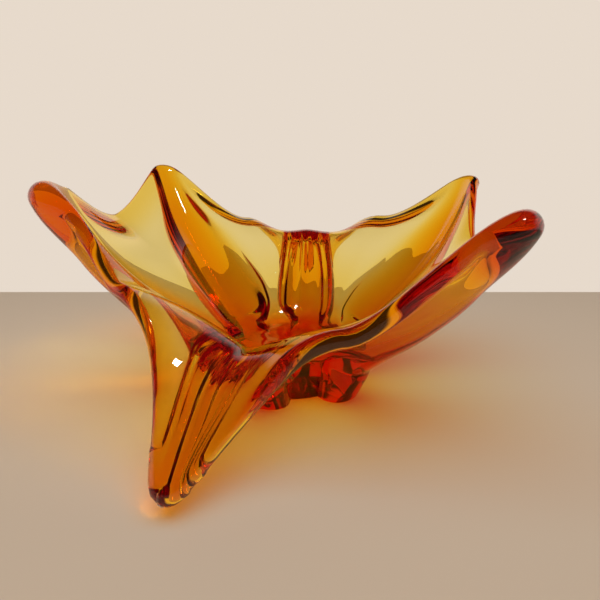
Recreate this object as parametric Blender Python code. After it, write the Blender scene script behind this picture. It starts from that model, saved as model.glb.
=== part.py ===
"""Star bowl in amber art glass, hot worked from one gather.

Six thick ribs rise from the lobes of a star foot, and a thin wall hangs between them. Four ribs are
drawn up into thick tipped arms, and the front and back ribs are folded over and drawn down.

Units are metres, Z is up, -Y is the front. The origin is the centre of the foot's flat underside.
Each zone of the glass is one closed solid: the wall, the foot and the six ribs.
"""

import math
from collections import namedtuple

import bmesh
import bpy
import numpy as np

# ---- Driving dimensions, metres and degrees -------------------------------------------------------

FIT_GAP = 0.0003            # clearance that keeps neighbouring zones apart

FLOOR_HEIGHT = 0.030        # inside of the bowl, at its centre
FLOOR_FLAT_RADIUS = 0.026
FLOOR_FLAT_RISE = 0.0005
RIB_FLOOR_EDGE = (0.052, 0.034)      # radius and height where a rib leaves the floor
VALLEY_FLOOR_EDGE = (0.045, 0.035)   # the same between two ribs

WALL_AT_FLOOR = 0.0075
WALL_THIN = 0.0026
THIN_EDGE = 0.0045          # thickness of a rim whose rounding needs no pull back
RIB_FILLET = 0.003          # extra wall under a rib and beside it
RIB_HALF_WIDTH_FOOT = 0.0155
RIB_HALF_WIDTH_WALL = 0.021
THINNEST_RIB = 0.0012

FOOT_HEIGHT = 0.0235        # where the star's flare reaches its full width
FOOT_TOP = FLOOR_HEIGHT - WALL_AT_FLOOR - FIT_GAP
FOOT_LOBE_RADIUS = 0.062    # star points of the foot, at the table
FOOT_NOTCH_RADIUS = 0.044   # hollows between the star points, at the table
FOOT_LOBE_FLARE = 0.0125    # how much wider the star is at its full height
FOOT_NOTCH_FLARE = 0.005
FOOT_EDGE = 0.0015          # ground edge around the underside
FOOT_CROWN = 2.5
FOOT_SOFTNESS = 0.5

GROOVE_WIDTH = 0.75         # share of the rib's width
FINGER_ROUNDING = 0.1       # how blunt the drawn out end of an arm is
FINGER_SPAN = math.hypot(1, FINGER_ROUNDING) - FINGER_ROUNDING
FINGER_GROWTH = 1.5

# Places along a profile, which runs from 0, the centre, to 1, the rim. A pair is where a change
# begins and where it is complete.
BEAD_START = 0.84           # the thickening towards the rim starts here
FOLD_START = (0.52, 0.68)
FOLD_END = (0.80, 0.92)
GROOVE_START = (0.35, 0.5)
GROOVE_END = (0.88, 0.97)

# An arm's foot and tip angles, its points (radius, height) up the inside from the floor's edge to
# the tip, how sharply its plan and height are pinched, and the sizes of its tip and rib. A rib's
# section has a flatter crown the higher crown is, and softer flanks the higher softness is. The
# groove is how deep the inside is hollowed along the rib, and fold the share of the rib's depth that
# is lost where it bends over.
Arm = namedtuple(
    "Arm",
    "name foot tip inside reach lift tip_thickness tip_width rib_depth rib_width crown softness groove fold",
)
ARMS = (
    Arm(
        "front", -106.5, -109, ((0.070, 0.048), (0.097, 0.057), (0.135, 0.049), (0.189, 0.0155)),
        reach=5.2, lift=2.3, tip_thickness=0.015, tip_width=0.014,
        rib_depth=0.013, rib_width=1.0, crown=4, softness=0.5, groove=0.0, fold=0.5,
    ),
    Arm(
        "right", -46, -43, ((0.080, 0.052), (0.110, 0.073), (0.139, 0.102), (0.1645, 0.146)),
        reach=2.2, lift=1.6, tip_thickness=0.019, tip_width=0.019,
        rib_depth=0.010, rib_width=1.0, crown=2.5, softness=1.2, groove=0.007, fold=0.0,
    ),
    Arm(
        "back_right", 14, 23, ((0.080, 0.053), (0.110, 0.081), (0.135, 0.114), (0.154, 0.149)),
        reach=2.3, lift=1.6, tip_thickness=0.012, tip_width=0.014,
        rib_depth=0.015, rib_width=1.35, crown=2, softness=1.6, groove=0.0, fold=0.0,
    ),
    Arm(
        "back", 74, 86, ((0.072, 0.056), (0.093, 0.096), (0.134, 0.086), (0.176, 0.042)),
        reach=3.2, lift=2.1, tip_thickness=0.014, tip_width=0.014,
        rib_depth=0.011, rib_width=0.95, crown=4, softness=0.5, groove=0.0, fold=0.5,
    ),
    Arm(
        "back_left", 134, 136, ((0.080, 0.053), (0.110, 0.083), (0.137, 0.117), (0.159, 0.155)),
        reach=2.3, lift=1.6, tip_thickness=0.014, tip_width=0.014,
        rib_depth=0.015, rib_width=1.35, crown=2, softness=1.6, groove=0.0, fold=0.0,
    ),
    Arm(
        "left", 194, 195, ((0.081, 0.052), (0.110, 0.078), (0.1365, 0.110), (0.156, 0.154)),
        reach=3.0, lift=1.5, tip_thickness=0.020, tip_width=0.020,
        rib_depth=0.010, rib_width=1.0, crown=2.5, softness=1.2, groove=0.007, fold=0.0,
    ),
)

# Between an arm and the next one: foot and rim angles, radius and height of the rim, how far the
# wall bulges inwards half way up, and the thickness of the bead along the rim
Valley = namedtuple("Valley", "foot rim radius height bulge bead")
VALLEYS = (
    Valley(-76, -75, radius=0.124, height=0.080, bulge=0.008, bead=0.012),
    Valley(-16, -10, radius=0.128, height=0.110, bulge=0.004, bead=0.006),
    Valley(44, 52, radius=0.134, height=0.110, bulge=0.014, bead=0.006),
    Valley(104, 110, radius=0.130, height=0.106, bulge=0.018, bead=0.006),
    Valley(164, 164, radius=0.144, height=0.120, bulge=0.004, bead=0.005),
    Valley(224, 221, radius=0.133, height=0.099, bulge=0.006, bead=0.009),
)

# ---- Resolution -----------------------------------------------------------------------------------

# Places across half of a sector: 0 is the middle of a rib, 0.5 its edge, 1 the valley beside it
RIB_EDGE = 0.5
PLACES = (0, 0.125, 0.25, 0.375, RIB_EDGE, 0.62, 0.78, 1)
FLANK_CROWDING = 1.3        # draws the places beyond a rib's edge closer to the rib
ROWS = 24                   # from the centre to the rim
RIB_ROWS = range(6, 24)     # the rows that a rib runs along
RIM_STEPS = 5               # around the half round rim

AMBER = (0.90, 0.42, 0.03, 1.0)
PALE_AMBER = (0.93, 0.70, 0.32, 1.0)
RED_AMBER = (0.55, 0.10, 0.01, 1.0)


# ---- Surface of the bowl --------------------------------------------------------------------------

def smooth_step(start, end, t):
    """0 before start, 1 after end, and an even S curve between them."""
    share = np.clip((t - start) / (end - start), 0, 1)
    return share * share * (3 - 2 * share)


def curve_through(points, t):
    """Smooth curve through evenly timed points, read at every t from 0 to 1."""
    knots = np.array(points)
    spans = len(knots) - 1
    slopes = np.empty_like(knots)
    slopes[1:-1] = (knots[2:] - knots[:-2]) / 2
    slopes[0] = 2 * (knots[1] - knots[0]) - slopes[1]
    slopes[-1] = 2 * (knots[-1] - knots[-2]) - slopes[-2]
    place = np.clip(t * spans, 0, spans)
    first = np.minimum(place.astype(int), spans - 1)
    f = (place - first)[:, None]
    return (
        (2 * f**3 - 3 * f**2 + 1) * knots[first]
        + (f**3 - 2 * f**2 + f) * slopes[first]
        + (3 * f**2 - 2 * f**3) * knots[first + 1]
        + (f**3 - f**2) * slopes[first + 1]
    )


def floor_points(floor_edge):
    """Profile points of the flat floor, from the centre to the edge of the floor."""
    return [
        (0.0, FLOOR_HEIGHT),
        (FLOOR_FLAT_RADIUS, FLOOR_HEIGHT + FLOOR_FLAT_RISE),
        floor_edge,
    ]


def arm_profile(arm, t):
    """Radius and height up the middle of a rib."""
    return curve_through(floor_points(RIB_FLOOR_EDGE) + list(arm.inside), t)


def valley_profile(valley, t):
    """Radius and height up the wall half way between two ribs."""
    start = np.array(VALLEY_FLOOR_EDGE)
    rim = np.array((valley.radius, valley.height))
    climb = [
        start + (rim - start) * share + np.array((0.0, valley.bulge * np.sin(np.pi * share)))
        for share in (0.25, 0.5, 0.75, 1.0)
    ]
    return curve_through(floor_points(VALLEY_FLOOR_EDGE) + [tuple(point) for point in climb], t)


def rib_half_width(arm, t):
    """Half of a rib's width along the wall, from the foot over the wall to the tip."""
    wall_width = RIB_HALF_WIDTH_WALL * arm.rib_width
    swell = RIB_HALF_WIDTH_FOOT + (wall_width - RIB_HALF_WIDTH_FOOT) * smooth_step(0.1, 0.5, t)
    return swell + (arm.tip_width - wall_width) * smooth_step(0.75, 1.0, t)


def drawn_out(share, pinch, t):
    """1 in the middle of an arm and 0 in the valley: a broad swell below, a finger at the rim."""
    swell = np.cos(np.pi / 2 * share) ** 2
    fall = (np.sqrt(share**2 + FINGER_ROUNDING**2) - FINGER_ROUNDING) / FINGER_SPAN
    finger = (1 - fall) ** pinch
    return swell + (finger - swell) * t**FINGER_GROWTH


def valleys_beside(arm_number):
    """The valleys before and after an arm, the first one turned back so that angles run on."""
    before = VALLEYS[arm_number - 1]
    turn = 360 if arm_number == 0 else 0
    return before._replace(foot=before.foot - turn, rim=before.rim - turn), VALLEYS[arm_number]


def rib_place(across):
    """Place across the rib itself, 0 in its middle and 1 from its edge on."""
    return min(across, RIB_EDGE) / RIB_EDGE


def rib_section(across, crown, softness):
    """Height of a rib's section, 1 in its middle and 0 from its edge on."""
    return (1 - rib_place(across) ** crown) ** softness


def sector_share(across, edge):
    """Share of the angle from a rib to a valley, edge being the share that the rib takes."""
    if across <= RIB_EDGE:
        return edge * rib_place(across)
    return edge + (1 - edge) * past_rib(across) ** FLANK_CROWDING


def past_rib(across):
    """Place across the wall beside a rib, 0 up to the rib's edge and 1 in the valley."""
    return (max(across, RIB_EDGE) - RIB_EDGE) / (1 - RIB_EDGE)


def column_points(arm, valley, across, t):
    """One line up the inside of the bowl, from the centre to the rim."""
    arm_line = arm_profile(arm, t)
    valley_line = valley_profile(valley, t)
    arm_angle = np.radians(arm.foot + (arm.tip - arm.foot) * t)
    valley_angle = np.radians(valley.foot + (valley.rim - valley.foot) * t)
    width_radius = np.maximum(arm_line[:, 0], RIB_FLOOR_EDGE[0])
    edge = rib_half_width(arm, t) / (width_radius * np.abs(valley_angle - arm_angle))
    share = sector_share(across, edge)
    reach = drawn_out(share, arm.reach, t)
    lift = drawn_out(share, arm.lift, t)
    radius = valley_line[:, 0] + (arm_line[:, 0] - valley_line[:, 0]) * reach
    height = valley_line[:, 1] + (arm_line[:, 1] - valley_line[:, 1]) * lift
    angle = arm_angle + (valley_angle - arm_angle) * share
    return np.stack([radius * np.cos(angle), radius * np.sin(angle), height], axis=-1)


def columns_around():
    """Arm number, valley and place of every column, once around the bowl."""
    columns = []
    for number in range(len(ARMS)):
        before, after = valleys_beside(number)
        columns += [(number, before, across) for across in PLACES[:0:-1]]
        columns += [(number, after, across) for across in PLACES[:-1]]
    return columns


def wall_thickness(arm, valley, across, t):
    """The wall alone: thick at the floor, a bead along the rim, a solid tip on each arm."""
    wall = WALL_AT_FLOOR + (WALL_THIN - WALL_AT_FLOOR) * smooth_step(0.15, 0.75, t)
    fillet = RIB_FILLET * (1 - past_rib(across)) ** 4
    wall = wall + fillet * smooth_step(0.15, 0.4, t) * (1 - smooth_step(0.5, 1.0, t))
    section = rib_section(across, arm.crown, arm.softness)
    at_rim = valley.bead + (arm.tip_thickness - valley.bead) * section
    return wall + (at_rim - wall) * smooth_step(BEAD_START, 1.0, t)


def groove_depth(arm, across, t):
    """Hollow along the inside of a rib, which ends short of the tip."""
    along = smooth_step(*GROOVE_START, t) * (1 - smooth_step(*GROOVE_END, t))
    from_middle = min(rib_place(across) / GROOVE_WIDTH, 1)
    return arm.groove * (1 - from_middle**2) ** 2 * along


def rib_depth(arm, across, t):
    """Glass that a rib adds outside the wall, less its groove, running out into the tip."""
    folded = arm.fold * smooth_step(*FOLD_START, t) * (1 - smooth_step(*FOLD_END, t))
    depth = arm.rib_depth * (1 - folded) * rib_section(across, arm.crown, arm.softness)
    depth = depth * (1 - smooth_step(BEAD_START, 1.0, t)) - groove_depth(arm, across, t)
    return np.maximum(depth, THINNEST_RIB)


def rim_row(arm, valley, across):
    """Place on the profile where the rim's rounding starts, so that its outer end keeps its place."""
    near_rim = 0.99
    last = column_points(arm, valley, across, np.array((near_rim, 1.0)))
    speed = np.linalg.norm(last[1] - last[0]) / (1 - near_rim)
    rounding = wall_thickness(arm, valley, across, 1.0) - THIN_EDGE
    return 1 - rounding / 2 / speed


def around_direction(ring):
    """Direction along a closed ring of points, at each point."""
    return np.roll(ring, -1, axis=0) - np.roll(ring, 1, axis=0)


def surface():
    """Inside of the bowl, outward unit normals, outside of the wall and outside of the ribs.
    Each is an array of points by column and row."""
    t = np.linspace(0, 1, ROWS + 1)
    inside = []
    wall = []
    rib = []
    groove = []
    for number, valley, across in columns_around():
        arm = ARMS[number]
        inside.append(column_points(arm, valley, across, t * rim_row(arm, valley, across)))
        wall.append(wall_thickness(arm, valley, across, t))
        rib.append(rib_depth(arm, across, t))
        groove.append(groove_depth(arm, across, t))
    inside = np.array(inside)
    outward = np.cross(around_direction(inside), np.gradient(inside, axis=1))
    outward[:, 0] = (0.0, 0.0, -1.0)
    outward /= np.linalg.norm(outward, axis=-1, keepdims=True)
    inside = inside + outward * np.array(groove)[..., None]
    wall_outside = inside + outward * np.array(wall)[..., None]
    rib_outside = wall_outside + outward * np.array(rib)[..., None]
    return inside, outward, wall_outside, rib_outside


# ---- Mesh helpers ---------------------------------------------------------------------------------

def add_node(name, material, mesh_data):
    """Turn a bmesh into a named object with faces that point out."""
    bmesh.ops.triangulate(mesh_data, faces=mesh_data.faces, quad_method="SHORT_EDGE")
    bmesh.ops.recalc_face_normals(mesh_data, faces=mesh_data.faces)
    mesh = bpy.data.meshes.new(name)
    mesh_data.to_mesh(mesh)
    mesh_data.free()
    for polygon in mesh.polygons:
        polygon.use_smooth = True
    mesh.materials.append(material)
    node = bpy.data.objects.new(name, mesh)
    bpy.context.scene.collection.objects.link(node)
    return node


def loft(mesh_data, rings):
    """Join closed rings of equally many points with quads."""
    loops = [[mesh_data.verts.new(point) for point in ring] for ring in rings]
    for lower, upper in zip(loops, loops[1:]):
        count = len(lower)
        for index in range(count):
            following = (index + 1) % count
            mesh_data.faces.new((lower[index], lower[following], upper[following], upper[index]))
    return loops


def close_with_fan(mesh_data, loop, centre):
    """Close a ring with triangles around one point."""
    middle = mesh_data.verts.new(centre)
    for index, vertex in enumerate(loop):
        mesh_data.faces.new((vertex, loop[(index + 1) % len(loop)], middle))


def close_with_strip(mesh_data, loop):
    """Close a ring that runs out along one side and back along the other."""
    half = len(loop) // 2
    for index in range(half - 1):
        mesh_data.faces.new((loop[index], loop[index + 1], loop[-2 - index], loop[-1 - index]))


def cut_level(mesh_data, height):
    """Cut off everything below one height and close the cut."""
    everything = mesh_data.verts[:] + mesh_data.edges[:] + mesh_data.faces[:]
    cut = bmesh.ops.bisect_plane(
        mesh_data, geom=everything, plane_co=(0, 0, height), plane_no=(0, 0, 1), clear_inner=True
    )
    edges = [item for item in cut["geom_cut"] if isinstance(item, bmesh.types.BMEdge)]
    bmesh.ops.edgeloop_fill(mesh_data, edges=edges)


def glass(name, colour):
    """Clear coloured glass."""
    material = bpy.data.materials.new(name)
    material.use_nodes = True
    shader = material.node_tree.nodes["Principled BSDF"]
    shader.inputs["Base Color"].default_value = colour
    shader.inputs["Roughness"].default_value = 0.03
    shader.inputs["Metallic"].default_value = 0.0
    shader.inputs["IOR"].default_value = 1.52
    shader.inputs["Transmission Weight"].default_value = 1.0
    return material


# ---- Zones of the glass ---------------------------------------------------------------------------

def build_wall(inside, outward, outside):
    """Thin bowl with a half round rim that swells into the tip of each arm."""
    rim_outward = outward[:, -1]
    over_rim = np.cross(rim_outward, around_direction(inside[:, -1]))
    over_rim /= np.linalg.norm(over_rim, axis=-1, keepdims=True)
    middle = (inside[:, -1] + outside[:, -1]) / 2
    radius = np.linalg.norm(outside[:, -1] - middle, axis=-1, keepdims=True)
    rim = []
    for step in range(1, RIM_STEPS + 1):
        turn = np.pi * step / (RIM_STEPS + 1)
        rim.append(middle + radius * (over_rim * np.sin(turn) - rim_outward * np.cos(turn)))

    rings = [inside[:, row] for row in range(1, ROWS + 1)]
    rings += rim
    rings += [outside[:, row] for row in range(ROWS, 0, -1)]
    mesh_data = bmesh.new()
    loops = loft(mesh_data, rings)
    close_with_fan(mesh_data, loops[0], inside[0, 0])
    close_with_fan(mesh_data, loops[-1], outside[0, 0])
    add_node("bowl_wall", glass("pale_amber_glass", PALE_AMBER), mesh_data)


def star_ring(height, inset):
    """Outline of the star foot at one height, its lobes as wide as the ribs above them."""
    rise = height / FOOT_HEIGHT
    lobe = FOOT_LOBE_RADIUS + FOOT_LOBE_FLARE * rise - inset
    notch = FOOT_NOTCH_RADIUS + FOOT_NOTCH_FLARE * rise - inset
    points = []
    for number, valley, across in columns_around():
        arm_angle = np.radians(ARMS[number].foot)
        valley_angle = np.radians(valley.foot)
        edge = RIB_HALF_WIDTH_FOOT / (RIB_FLOOR_EDGE[0] * abs(valley_angle - arm_angle))
        angle = arm_angle + (valley_angle - arm_angle) * sector_share(across, edge)
        radius = notch + (lobe - notch) * rib_section(across, FOOT_CROWN, FOOT_SOFTNESS)
        points.append((radius * np.cos(angle), radius * np.sin(angle), height))
    return points


def build_foot():
    """Solid six lobed star with a flat ground underside, which the bowl stands on."""
    levels = ((0.0, FOOT_EDGE), (FOOT_EDGE, 0.0), (FOOT_TOP / 2, 0.0), (FOOT_TOP, 0.0))
    mesh_data = bmesh.new()
    loops = loft(mesh_data, [star_ring(height, inset) for height, inset in levels])
    close_with_fan(mesh_data, loops[0], (0.0, 0.0, 0.0))
    close_with_fan(mesh_data, loops[-1], (0.0, 0.0, FOOT_TOP))
    add_node("star_foot", glass("red_amber_glass", RED_AMBER), mesh_data)


def build_ribs(outward, wall_outside, rib_outside):
    """Six thick ribs against the outside of the wall, cut off level above the foot."""
    inner = wall_outside + outward * FIT_GAP
    material = glass("amber_glass", AMBER)
    columns = columns_around()
    for number, arm in enumerate(ARMS):
        own = [
            index for index, (owner, valley, across) in enumerate(columns)
            if owner == number and across <= RIB_EDGE
        ]
        rings = [np.concatenate([inner[own, row], rib_outside[own[::-1], row]]) for row in RIB_ROWS]
        mesh_data = bmesh.new()
        loops = loft(mesh_data, rings)
        close_with_strip(mesh_data, loops[0])
        close_with_strip(mesh_data, loops[-1])
        cut_level(mesh_data, FOOT_TOP + FIT_GAP)
        add_node("rib_" + arm.name, material, mesh_data)


def build():
    """Remove what the scene holds and build every zone."""
    for item in list(bpy.data.objects):
        bpy.data.objects.remove(item, do_unlink=True)
    inside, outward, wall_outside, rib_outside = surface()
    build_foot()
    build_wall(inside, outward, wall_outside)
    build_ribs(outward, wall_outside, rib_outside)


build()
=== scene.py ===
"""Looks of the amber art glass bowl: one continuous body of glass in place of the CAD zones.

Units are metres, Z is up, -Y is the front. The bowl's surface follows the same driving dimensions
as the CAD part, at a finer resolution and with its edges melted together.
"""

import math
from collections import namedtuple

import bmesh
import bpy
import numpy as np
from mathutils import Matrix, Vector


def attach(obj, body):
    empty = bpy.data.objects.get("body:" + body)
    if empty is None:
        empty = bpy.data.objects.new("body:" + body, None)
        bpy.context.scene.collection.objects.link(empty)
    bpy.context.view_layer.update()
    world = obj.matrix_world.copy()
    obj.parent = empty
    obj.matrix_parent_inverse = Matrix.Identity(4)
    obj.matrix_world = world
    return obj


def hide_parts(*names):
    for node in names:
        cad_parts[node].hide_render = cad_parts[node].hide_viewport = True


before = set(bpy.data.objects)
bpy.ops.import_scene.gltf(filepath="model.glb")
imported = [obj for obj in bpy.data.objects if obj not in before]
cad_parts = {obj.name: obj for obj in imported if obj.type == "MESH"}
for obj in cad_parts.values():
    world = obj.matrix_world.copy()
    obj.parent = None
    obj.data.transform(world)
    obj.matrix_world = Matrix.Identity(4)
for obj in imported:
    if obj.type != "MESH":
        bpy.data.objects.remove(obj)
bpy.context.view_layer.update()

# ---- Driving dimensions, metres and degrees, the same as the CAD part's --------------------------

FLOOR_HEIGHT = 0.030        # inside of the bowl, at its centre
FLOOR_FLAT_RADIUS = 0.026
FLOOR_FLAT_RISE = 0.0005
RIB_FLOOR_EDGE = (0.052, 0.034)      # radius and height where a rib leaves the floor
VALLEY_FLOOR_EDGE = (0.045, 0.035)   # the same between two ribs

WALL_AT_FLOOR = 0.0075
WALL_THIN = 0.0026
THIN_EDGE = 0.0045          # thickness of a rim whose rounding needs no pull back
RIB_FILLET = 0.003          # extra wall under a rib and beside it
FILLET_FALL = 4             # how fast it fades beside the rib
RIB_HALF_WIDTH_FOOT = 0.0155
RIB_HALF_WIDTH_WALL = 0.021

FOOT_HEIGHT = 0.0235        # where the star's flare reaches its full width
FOOT_LOBE_RADIUS = 0.062    # star points of the foot, at the table
FOOT_NOTCH_RADIUS = 0.044   # hollows between the star points, at the table
FOOT_LOBE_FLARE = 0.0125    # how much wider the star is at its full height
FOOT_NOTCH_FLARE = 0.005
FOOT_EDGE = 0.0015          # ground edge around the underside
FOOT_CROWN = 2.5
FOOT_SOFTNESS = 0.5

GROOVE_WIDTH = 0.75         # share of the rib's width
FINGER_ROUNDING = 0.1       # how blunt the drawn out end of an arm is
FINGER_SPAN = math.hypot(1, FINGER_ROUNDING) - FINGER_ROUNDING
FINGER_GROWTH = 1.5

FLUTES = 4.5                # half waves from the middle of a rib to its edge
FLUTE_TURN = 1.9            # how far the flutes shift from one rib to the next, radians
FINE_FLUTE_SHARE = 0.5      # a second, finer wave makes the flutes uneven
FINE_FLUTE_PITCH = 1.6
FINE_FLUTE_SHIFT = 1.0
FLUTE_LOSS = 0.5            # share of the flutes that is melted away at the rim

# Places along a profile, which runs from 0, the centre, to 1, the rim. A pair is where a change
# begins and where it is complete.
RIB_WIDENING = (0.1, 0.5)
TIP_NARROWING = (0.75, 1.0)
WALL_THINNING = (0.15, 0.75)
FILLET_START = (0.15, 0.4)
FILLET_END = (0.5, 1.0)
BEAD = (0.84, 1.0)          # the thickening along the rim
FOLD_START = (0.52, 0.68)
FOLD_END = (0.80, 0.92)
FLUTE_START = (0.3, 0.45)
GROOVE_START = (0.35, 0.5)
GROOVE_END = (0.88, 0.97)
FOOT_JOIN = 0.42            # the foot has flowed into the bowl here
RIM_PROBE = 0.01            # length of profile on which the rim's direction is measured

JUST_INSIDE = 0.997         # keeps the finer surface within the CAD part's outline

# An arm's foot and tip angles, its points (radius, height) up the inside from the floor's edge to
# the tip, how sharply its plan and height are pinched, and the sizes of its tip and rib. A rib's
# section has a flatter crown the higher crown is, and softer flanks the higher softness is. The
# groove is how deep the inside is hollowed along the rib, fold the share of the rib's depth that is
# lost where it bends over, and flute the height of the waves along it.
Arm = namedtuple(
    "Arm",
    "name foot tip inside reach lift tip_thickness tip_width "
    "rib_depth rib_width crown softness groove fold flute",
)
ARMS = (
    Arm(
        "front", -106.5, -109, ((0.070, 0.048), (0.097, 0.057), (0.135, 0.049), (0.189, 0.0155)),
        reach=5.2, lift=2.3, tip_thickness=0.015, tip_width=0.014, rib_depth=0.013, rib_width=1.0,
        crown=4, softness=0.5, groove=0.0, fold=0.5, flute=0.0018,
    ),
    Arm(
        "right", -46, -43, ((0.080, 0.052), (0.110, 0.073), (0.139, 0.102), (0.1645, 0.146)),
        reach=2.2, lift=1.6, tip_thickness=0.019, tip_width=0.019, rib_depth=0.010, rib_width=1.0,
        crown=2.5, softness=1.2, groove=0.007, fold=0.0, flute=0.0,
    ),
    Arm(
        "back_right", 14, 23, ((0.080, 0.053), (0.110, 0.081), (0.135, 0.114), (0.154, 0.149)),
        reach=2.3, lift=1.6, tip_thickness=0.012, tip_width=0.014, rib_depth=0.015, rib_width=1.35,
        crown=2, softness=1.6, groove=0.0, fold=0.0, flute=0.0002,
    ),
    Arm(
        "back", 74, 86, ((0.072, 0.056), (0.093, 0.096), (0.134, 0.086), (0.176, 0.042)),
        reach=3.2, lift=2.1, tip_thickness=0.014, tip_width=0.014, rib_depth=0.011, rib_width=0.95,
        crown=4, softness=0.5, groove=0.0, fold=0.5, flute=0.0014,
    ),
    Arm(
        "back_left", 134, 136, ((0.080, 0.053), (0.110, 0.083), (0.137, 0.117), (0.159, 0.155)),
        reach=2.3, lift=1.6, tip_thickness=0.014, tip_width=0.014, rib_depth=0.015, rib_width=1.35,
        crown=2, softness=1.6, groove=0.0, fold=0.0, flute=0.0002,
    ),
    Arm(
        "left", 194, 195, ((0.081, 0.052), (0.110, 0.078), (0.1365, 0.110), (0.156, 0.154)),
        reach=3.0, lift=1.5, tip_thickness=0.020, tip_width=0.020, rib_depth=0.010, rib_width=1.0,
        crown=2.5, softness=1.2, groove=0.007, fold=0.0, flute=0.0,
    ),
)

# Between an arm and the next one: foot and rim angles, radius and height of the rim, how far the
# wall bulges inwards half way up, and the thickness of the bead along the rim
Valley = namedtuple("Valley", "foot rim radius height bulge bead")
VALLEYS = (
    Valley(-76, -75, radius=0.124, height=0.080, bulge=0.008, bead=0.012),
    Valley(-16, -10, radius=0.128, height=0.110, bulge=0.004, bead=0.006),
    Valley(44, 52, radius=0.134, height=0.110, bulge=0.014, bead=0.006),
    Valley(104, 110, radius=0.130, height=0.106, bulge=0.018, bead=0.006),
    Valley(164, 164, radius=0.144, height=0.120, bulge=0.004, bead=0.005),
    Valley(224, 221, radius=0.133, height=0.099, bulge=0.006, bead=0.009),
)

# ---- Resolution ----------------------------------------------------------------------------------

# Places across half of a sector: 0 is the middle of a rib, 0.5 its edge, 1 the valley beside it
RIB_EDGE = 0.5
RIB_PLACES = np.linspace(0, RIB_EDGE, 16, endpoint=False)
FLANK_PLACES = np.linspace(RIB_EDGE, 1, 15)
PLACES = np.concatenate([RIB_PLACES, FLANK_PLACES])
FLANK_CROWDING = 1.3        # draws the places beyond a rib's edge closer to the rib
ROWS = 84                   # from the centre to the rim
VALLEY_CLIMB = (0.25, 0.5, 0.75, 1.0)     # shares of the way from the floor's edge to the rim
RIM_STEPS = 13              # over the half round rim
JOIN_STEPS = 12             # from the bowl into the flare of the foot
FOOT_LEVELS = (0.72, 0.45, 0.2)           # shares of the foot's height
EDGE_STEPS = 4              # around the ground edge of the foot
UNDERSIDE_SHARES = (0.75, 0.5, 0.25)      # shares of the way out from the middle

# ---- Glass ---------------------------------------------------------------------------------------

GLASS_IOR = 1.5
AMBER = (0.985, 0.838, 0.0, 1.0)
AMBER_DENSITY = 360.0       # per metre

# ---- Studio, metres ------------------------------------------------------------------------------

TABLE_HALF_WIDTH = 2.0
TABLE_FRONT = -2.0
TABLE_BACK = 0.24           # the pale backdrop starts behind it
TABLE_DROP = 0.0002         # keeps the table clear of the ground underside of the foot
TABLE_ROUGHNESS = 0.6
LAMP_WATTS = {"window": 4, "overhead": 15}
LIGHT_BOUNCES = 24
GLOSSY_BOUNCES = 12

LENS = 34.5                 # millimetres, on a sensor 36 mm wide
SENSOR_WIDTH = 36.0
CAMERA_PLACE = (0.007, -0.415, 0.184)
CAMERA_TILT = 16.5          # degrees below level
CLIP_START = 0.01

# Heights and depths in the view direction, a unit vector, between which the surroundings change
CEILING_STARTS = (0.36, 0.55)
DARK_STARTS = (0.0, 0.2)
FRONT_TO_BACK = (-0.25, 0.35)

# Colours, linear
PALE_TABLE = (0.63, 0.49, 0.36)
BACKDROP = (0.80, 0.70, 0.60)
CEILING = (0.03, 0.026, 0.022)
FRONT_HAZE = (0.40, 0.35, 0.30)
DARK_ROOM = (0.02, 0.018, 0.016)


# ---- Surface of the bowl -------------------------------------------------------------------------

def smooth_step(start, end, t):
    """0 before start, 1 after end, and an even S curve between them."""
    share = np.clip((t - start) / (end - start), 0, 1)
    return share * share * (3 - 2 * share)


def hermite(start, start_pull, end, end_pull, f):
    """Point at share f of a curve that leaves start and reaches end along the given pulls."""
    return (
        (2 * f**3 - 3 * f**2 + 1) * start
        + (f**3 - 2 * f**2 + f) * start_pull
        + (3 * f**2 - 2 * f**3) * end
        + (f**3 - f**2) * end_pull
    )


def curve_through(points, t):
    """Smooth curve through evenly timed points, read at every t from 0 to 1."""
    knots = np.array(points)
    spans = len(knots) - 1
    slopes = np.empty_like(knots)
    slopes[1:-1] = (knots[2:] - knots[:-2]) / 2
    slopes[0] = 2 * (knots[1] - knots[0]) - slopes[1]
    slopes[-1] = 2 * (knots[-1] - knots[-2]) - slopes[-2]
    place = np.clip(t * spans, 0, spans)
    first = np.minimum(place.astype(int), spans - 1)
    share = (place - first)[:, None]
    return hermite(knots[first], slopes[first], knots[first + 1], slopes[first + 1], share)


def floor_points(floor_edge):
    """Profile points of the flat floor, from the centre to the edge of the floor."""
    return [
        (0.0, FLOOR_HEIGHT),
        (FLOOR_FLAT_RADIUS, FLOOR_HEIGHT + FLOOR_FLAT_RISE),
        floor_edge,
    ]


def arm_profile(arm, t):
    """Radius and height up the middle of a rib."""
    return curve_through(floor_points(RIB_FLOOR_EDGE) + list(arm.inside), t)


def valley_profile(valley, t):
    """Radius and height up the wall half way between two ribs."""
    start = np.array(VALLEY_FLOOR_EDGE)
    rim = np.array((valley.radius, valley.height))
    climb = [
        start + (rim - start) * share + np.array((0.0, valley.bulge * np.sin(np.pi * share)))
        for share in VALLEY_CLIMB
    ]
    return curve_through(floor_points(VALLEY_FLOOR_EDGE) + [tuple(point) for point in climb], t)


def rib_half_width(arm, t):
    """Half of a rib's width along the wall, from the foot over the wall to the tip."""
    wall_width = RIB_HALF_WIDTH_WALL * arm.rib_width
    widened = (wall_width - RIB_HALF_WIDTH_FOOT) * smooth_step(*RIB_WIDENING, t)
    return RIB_HALF_WIDTH_FOOT + widened + (arm.tip_width - wall_width) * smooth_step(*TIP_NARROWING, t)


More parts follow.
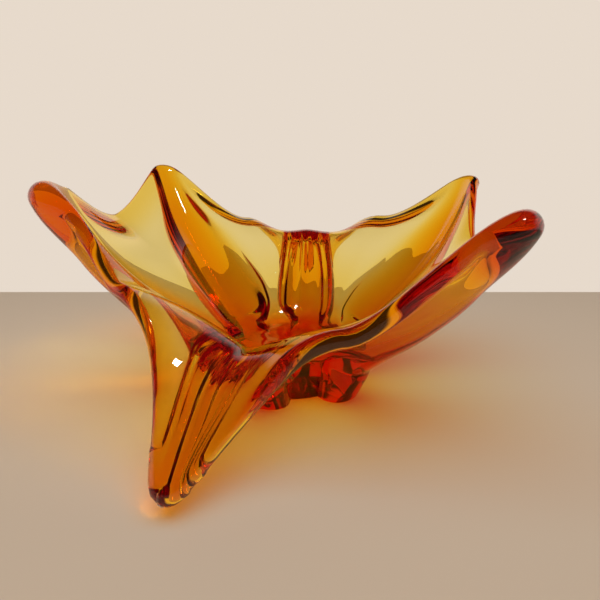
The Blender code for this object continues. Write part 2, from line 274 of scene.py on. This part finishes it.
def drawn_out(share, pinch, t):
    """1 in the middle of an arm and 0 in the valley: a broad swell below, a finger at the rim."""
    swell = np.cos(np.pi / 2 * share) ** 2
    fall = (np.sqrt(share**2 + FINGER_ROUNDING**2) - FINGER_ROUNDING) / FINGER_SPAN
    finger = (1 - fall) ** pinch
    return swell + (finger - swell) * t**FINGER_GROWTH


def valleys_beside(arm_number):
    """The valleys before and after an arm, the first one turned back so that angles run on."""
    before = VALLEYS[arm_number - 1]
    turn = 360 if arm_number == 0 else 0
    return before._replace(foot=before.foot - turn, rim=before.rim - turn), VALLEYS[arm_number]


def rib_place(across):
    """Place across the rib itself, 0 in its middle and 1 from its edge on."""
    return min(across, RIB_EDGE) / RIB_EDGE


def past_rib(across):
    """Place across the wall beside a rib, 0 up to the rib's edge and 1 in the valley."""
    return (max(across, RIB_EDGE) - RIB_EDGE) / (1 - RIB_EDGE)


def rib_section(across, crown, softness):
    """Height of a rib's section, 1 in its middle and 0 from its edge on."""
    return (1 - rib_place(across) ** crown) ** softness


def sector_share(across, edge):
    """Share of the angle from a rib to a valley, edge being the share that the rib takes."""
    if across <= RIB_EDGE:
        return edge * rib_place(across)
    return edge + (1 - edge) * past_rib(across) ** FLANK_CROWDING


def column_points(arm, valley, across, t):
    """One line up the inside of the bowl, from the centre to the rim."""
    arm_line = arm_profile(arm, t)
    valley_line = valley_profile(valley, t)
    arm_angle = np.radians(arm.foot + (arm.tip - arm.foot) * t)
    valley_angle = np.radians(valley.foot + (valley.rim - valley.foot) * t)
    width_radius = np.maximum(arm_line[:, 0], RIB_FLOOR_EDGE[0])
    edge = rib_half_width(arm, t) / (width_radius * np.abs(valley_angle - arm_angle))
    share = sector_share(across, edge)
    reach = drawn_out(share, arm.reach, t)
    lift = drawn_out(share, arm.lift, t)
    radius = valley_line[:, 0] + (arm_line[:, 0] - valley_line[:, 0]) * reach
    height = valley_line[:, 1] + (arm_line[:, 1] - valley_line[:, 1]) * lift
    angle = arm_angle + (valley_angle - arm_angle) * share
    return np.stack([radius * np.cos(angle), radius * np.sin(angle), height], axis=-1)


def columns_around():
    """Arm number, valley, place and side of the rib of every column, once around the bowl."""
    columns = []
    for number in range(len(ARMS)):
        before, after = valleys_beside(number)
        columns += [(number, before, across, -1) for across in PLACES[:0:-1]]
        columns += [(number, after, across, 1) for across in PLACES[:-1]]
    return columns


def fluting(number, across, side):
    """Shallow lengthwise waves across a rib, left by the mould and the pulling."""
    phase = side * math.pi * FLUTES * rib_place(across) + FLUTE_TURN * number
    fine_wave = math.cos(FINE_FLUTE_PITCH * phase + FINE_FLUTE_SHIFT)
    return ARMS[number].flute * (math.cos(phase) + FINE_FLUTE_SHARE * fine_wave)


def glass_thickness(number, valley, across, side, t):
    """Thin wall, the bead along the rim, and the rib that runs out into the solid tip."""
    arm = ARMS[number]
    section = rib_section(across, arm.crown, arm.softness)
    wall = WALL_AT_FLOOR + (WALL_THIN - WALL_AT_FLOOR) * smooth_step(*WALL_THINNING, t)
    fillet = RIB_FILLET * (1 - past_rib(across)) ** FILLET_FALL
    wall = wall + fillet * smooth_step(*FILLET_START, t) * (1 - smooth_step(*FILLET_END, t))
    bead = smooth_step(*BEAD, t)
    rim = (valley.bead - wall) * bead * (1 - section)
    folded = arm.fold * smooth_step(*FOLD_START, t) * (1 - smooth_step(*FOLD_END, t))
    depth = arm.rib_depth * (1 - folded)
    rib = section * (depth + (arm.tip_thickness - wall - depth) * bead)
    flute = fluting(number, across, side) * section * smooth_step(*FLUTE_START, t)
    return wall + rim + rib + flute * (1 - FLUTE_LOSS * bead)


def groove_depth(arm, across, t):
    """Hollow along the inside of a rib, which ends short of the tip."""
    along = smooth_step(*GROOVE_START, t) * (1 - smooth_step(*GROOVE_END, t))
    from_middle = min(rib_place(across) / GROOVE_WIDTH, 1)
    return arm.groove * (1 - from_middle**2) ** 2 * along


def rim_row(number, valley, across, side):
    """Place on the profile where the rim's rounding starts, so that its outer end keeps its place."""
    last = column_points(ARMS[number], valley, across, np.array((1 - RIM_PROBE, 1.0)))
    speed = np.linalg.norm(last[1] - last[0]) / RIM_PROBE
    rounding = glass_thickness(number, valley, across, side, np.array((1.0,)))[0] - THIN_EDGE
    return 1 - rounding / 2 / speed


def around_direction(ring):
    """Direction along a closed ring of points, at each point."""
    return np.roll(ring, -1, axis=0) - np.roll(ring, 1, axis=0)


def unit(vectors):
    """The same directions at length 1."""
    return vectors / np.linalg.norm(vectors, axis=-1, keepdims=True)


def glass_skins():
    """Inside and outside of the glass, outward unit normals and thickness, by column and row."""
    t = np.linspace(0, 1, ROWS + 1)
    inside = []
    thickness = []
    groove = []
    for number, valley, across, side in columns_around():
        last_row = rim_row(number, valley, across, side)
        inside.append(column_points(ARMS[number], valley, across, t * last_row))
        thickness.append(glass_thickness(number, valley, across, side, t))
        groove.append(groove_depth(ARMS[number], across, t))
    inside = np.array(inside)
    thickness = np.array(thickness)[..., None]
    outward = np.cross(around_direction(inside), np.gradient(inside, axis=1))
    outward[:, 0] = (0.0, 0.0, -1.0)
    outward = unit(outward)
    outside = inside + outward * thickness
    inside = inside + outward * np.array(groove)[..., None]
    return inside, outside, outward, thickness


def rim_rings(inside, outside, outward, thickness):
    """Rings over the half round rim, given the last row of each skin."""
    over_rim = unit(np.cross(outward, around_direction(inside)))
    middle = (inside + outside) / 2
    radius = thickness / 2
    rings = []
    for step in range(1, RIM_STEPS + 1):
        turn = np.pi * step / (RIM_STEPS + 1)
        rings.append(middle + radius * (over_rim * np.sin(turn) - outward * np.cos(turn)))
    return rings


def star_ring(height, inset):
    """Outline of the foot at a height, moved in by the inset."""
    rise = height / FOOT_HEIGHT
    lobe = FOOT_LOBE_RADIUS + FOOT_LOBE_FLARE * rise - inset
    notch = FOOT_NOTCH_RADIUS + FOOT_NOTCH_FLARE * rise - inset
    points = []
    for number, valley, across, _ in columns_around():
        arm_angle = np.radians(ARMS[number].foot)
        valley_angle = np.radians(valley.foot)
        edge = RIB_HALF_WIDTH_FOOT / (RIB_FLOOR_EDGE[0] * abs(valley_angle - arm_angle))
        angle = arm_angle + (valley_angle - arm_angle) * sector_share(across, edge)
        radius = notch + (lobe - notch) * rib_section(across, FOOT_CROWN, FOOT_SOFTNESS)
        points.append((radius * np.cos(angle), radius * np.sin(angle), height))
    return np.array(points)


def foot_rings():
    """Rings of the foot from just under the bowl down to the middle of its underside."""
    rings = [star_ring(FOOT_HEIGHT * share, 0.0) for share in FOOT_LEVELS]
    for step in range(EDGE_STEPS + 1):
        turn = math.pi / 2 * step / EDGE_STEPS
        rings.append(star_ring(FOOT_EDGE * (1 - math.sin(turn)), FOOT_EDGE * (1 - math.cos(turn))))
    for share in UNDERSIDE_SHARES:
        rings.append(star_ring(0.0, FOOT_EDGE) * np.array((share, share, 1)))
    return rings


def join_rings(outside, join_row, foot):
    """Rings that flow from the outside of the bowl, at join_row, into the flare of the foot."""
    top = outside[:, join_row]
    top_pull = unit(outside[:, join_row - 1] - outside[:, join_row + 1])
    foot_pull = unit(foot[1] - foot[0])
    span = np.linalg.norm(foot[0] - top, axis=-1, keepdims=True)
    return [
        hermite(top, top_pull * span, foot[0], foot_pull * span, step / JOIN_STEPS)
        for step in range(1, JOIN_STEPS)
    ]


def bowl_rings():
    """Closed rings of points: up the inside, over the rim, down the outside and under the foot.
    The centre of the bowl's floor comes as well."""
    inside, outside, outward, thickness = glass_skins()
    join_row = round(FOOT_JOIN * ROWS)
    foot = foot_rings()
    rings = [inside[:, row] for row in range(1, ROWS + 1)]
    rings += rim_rings(inside[:, -1], outside[:, -1], outward[:, -1], thickness[:, -1])
    rings += [outside[:, row] for row in range(ROWS, join_row - 1, -1)]
    rings += join_rings(outside, join_row, foot)
    rings += foot
    return [ring * JUST_INSIDE for ring in rings], inside[0, 0] * JUST_INSIDE


def build_bowl():
    """The whole bowl as one closed mesh."""
    rings, centre = bowl_rings()
    mesh_data = bmesh.new()
    loops = [[mesh_data.verts.new(point) for point in ring] for ring in rings]
    for lower, upper in zip(loops, loops[1:]):
        count = len(lower)
        for index in range(count):
            following = (index + 1) % count
            mesh_data.faces.new((lower[index], lower[following], upper[following], upper[index]))
    for loop, middle in ((loops[0], centre), (loops[-1], (0.0, 0.0, 0.0))):
        point = mesh_data.verts.new(middle)
        for index, vertex in enumerate(loop):
            mesh_data.faces.new((vertex, loop[(index + 1) % len(loop)], point))
    bmesh.ops.recalc_face_normals(mesh_data, faces=mesh_data.faces)
    mesh = bpy.data.meshes.new("glass_bowl")
    mesh_data.to_mesh(mesh)
    mesh_data.free()
    for polygon in mesh.polygons:
        polygon.use_smooth = True
    bowl = bpy.data.objects.new("glass_bowl", mesh)
    bpy.context.scene.collection.objects.link(bowl)
    return bowl


# ---- Materials -----------------------------------------------------------------------------------

def amber_glass():
    """Clear glass whose colour comes from how far light travels inside it."""
    material = bpy.data.materials.new("amber_glass")
    material.use_nodes = True
    nodes = material.node_tree.nodes
    links = material.node_tree.links
    shader = nodes["Principled BSDF"]
    shader.inputs["Base Color"].default_value = (1.0, 1.0, 1.0, 1.0)
    shader.inputs["Roughness"].default_value = 0.0
    shader.inputs["IOR"].default_value = GLASS_IOR
    shader.inputs["Transmission Weight"].default_value = 1.0
    absorption = nodes.new("ShaderNodeVolumeAbsorption")
    absorption.inputs["Color"].default_value = AMBER
    absorption.inputs["Density"].default_value = AMBER_DENSITY
    links.new(absorption.outputs["Volume"], nodes["Material Output"].inputs["Volume"])
    # A shadow ray goes straight through, so the table gets amber light and not a black shadow.
    ray = nodes.new("ShaderNodeLightPath")
    straight = nodes.new("ShaderNodeBsdfTransparent")
    surface = nodes.new("ShaderNodeMixShader")
    links.new(ray.outputs["Is Shadow Ray"], surface.inputs["Fac"])
    links.new(shader.outputs["BSDF"], surface.inputs[1])
    links.new(straight.outputs["BSDF"], surface.inputs[2])
    links.new(surface.outputs["Shader"], nodes["Material Output"].inputs["Surface"])
    return material


def state_thickness(material, thickness):
    """An exported model works out the colour of the glass from one stated thickness."""
    group = bpy.data.node_groups.new("glTF Material Output", "ShaderNodeTree")
    group.interface.new_socket(name="Thickness", in_out="INPUT", socket_type="NodeSocketFloat")
    node = material.node_tree.nodes.new("ShaderNodeGroup")
    node.node_tree = group
    node.inputs["Thickness"].default_value = thickness


def pale_table():
    """Plain, nearly matt surface of the table."""
    material = bpy.data.materials.new("pale_floor")
    material.use_nodes = True
    shader = material.node_tree.nodes["Principled BSDF"]
    shader.inputs["Base Color"].default_value = PALE_TABLE + (1.0,)
    shader.inputs["Roughness"].default_value = TABLE_ROUGHNESS
    return material


# ---- Stage ---------------------------------------------------------------------------------------

def build_floor():
    """The table top, which ends a little way behind the bowl."""
    corners = [
        (-TABLE_HALF_WIDTH, TABLE_FRONT, -TABLE_DROP),
        (TABLE_HALF_WIDTH, TABLE_FRONT, -TABLE_DROP),
        (TABLE_HALF_WIDTH, TABLE_BACK, -TABLE_DROP),
        (-TABLE_HALF_WIDTH, TABLE_BACK, -TABLE_DROP),
    ]
    mesh = bpy.data.meshes.new("floor")
    mesh.from_pydata(corners, [], [(0, 1, 2, 3)])
    mesh.materials.append(pale_table())
    floor = bpy.data.objects.new("floor", mesh)
    bpy.context.scene.collection.objects.link(floor)


def ramp(tree, source, ends):
    """0 where the source is below the first end, 1 above the second, and smooth between them."""
    node = tree.nodes.new("ShaderNodeMapRange")
    node.interpolation_type = "SMOOTHSTEP"
    node.inputs["From Min"].default_value = ends[0]
    node.inputs["From Max"].default_value = ends[1]
    tree.links.new(source, node.inputs["Value"])
    return node.outputs["Result"]


def mixed(tree, factor, first, second):
    """Colour that goes from the first to the second; each is a colour or a socket."""
    node = tree.nodes.new("ShaderNodeMix")
    node.data_type = "RGBA"
    tree.links.new(factor, node.inputs["Factor"])
    for socket, value in ((node.inputs["A"], first), (node.inputs["B"], second)):
        if isinstance(value, tuple):
            socket.default_value = value + (1.0,)
        else:
            tree.links.new(value, socket)
    return node.outputs["Result"]


def build_world():
    """Pale backdrop behind the bowl, dim ceiling, dark room behind the camera."""
    world = bpy.data.worlds.new("studio")
    world.use_nodes = True
    tree = world.node_tree
    direction = tree.nodes.new("ShaderNodeTexCoord")
    parts = tree.nodes.new("ShaderNodeSeparateXYZ")
    tree.links.new(direction.outputs["Generated"], parts.inputs[0])
    back = mixed(tree, ramp(tree, parts.outputs["Z"], CEILING_STARTS), BACKDROP, CEILING)
    front = mixed(tree, ramp(tree, parts.outputs["Z"], DARK_STARTS), FRONT_HAZE, DARK_ROOM)
    sky = mixed(tree, ramp(tree, parts.outputs["Y"], FRONT_TO_BACK), front, back)
    tree.links.new(sky, tree.nodes["Background"].inputs["Color"])
    bpy.context.scene.world = world


def area_light(name, place, aim, size, seen=True, only=None):
    """Rectangular lamp. It can be kept out of reflections, and light only one collection."""
    light = bpy.data.lights.new(name, "AREA")
    light.shape = "RECTANGLE"
    light.size = size[0]
    light.size_y = size[1]
    light.energy = LAMP_WATTS[name]
    lamp = bpy.data.objects.new(name, light)
    lamp.location = place
    direction = Vector(aim) - Vector(place)
    lamp.rotation_euler = direction.to_track_quat("-Z", "Y").to_euler()
    lamp.visible_glossy = seen
    lamp.visible_transmission = seen
    lamp.light_linking.receiver_collection = only
    bpy.context.scene.collection.objects.link(lamp)


def build_lights(bowl):
    """A window to the right, which lights only the glass, and a soft light over the table."""
    glass_only = bpy.data.collections.new("glass_only")
    glass_only.objects.link(bowl)
    area_light("window", (0.77, -0.21, 1.27), aim=(0, 0, 0.05), size=(0.13, 0.13), only=glass_only)
    area_light("overhead", (0.0, -0.2, 1.2), aim=(0, -0.2, 0.0), size=(1.6, 1.2), seen=False)


def build_camera():
    """The camera in front of the bowl, looking down over its front arm."""
    camera = bpy.data.cameras.new("camera")
    camera.sensor_width = SENSOR_WIDTH
    camera.lens = LENS
    camera.clip_start = CLIP_START
    view = bpy.data.objects.new("camera", camera)
    view.location = CAMERA_PLACE
    view.rotation_euler = (math.radians(90 - CAMERA_TILT), 0, 0)
    bpy.context.scene.collection.objects.link(view)
    bpy.context.scene.camera = view


bowl = build_bowl()
glass = amber_glass()
state_thickness(glass, WALL_AT_FLOOR)
bowl.data.materials.append(glass)
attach(bowl, "root")
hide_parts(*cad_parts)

build_floor()
build_world()
build_lights(bowl)
build_camera()

cycles = bpy.context.scene.cycles
cycles.max_bounces = LIGHT_BOUNCES
cycles.transmission_bounces = LIGHT_BOUNCES
cycles.glossy_bounces = GLOSSY_BOUNCES
bpy.context.scene.view_settings.view_transform = "Standard"
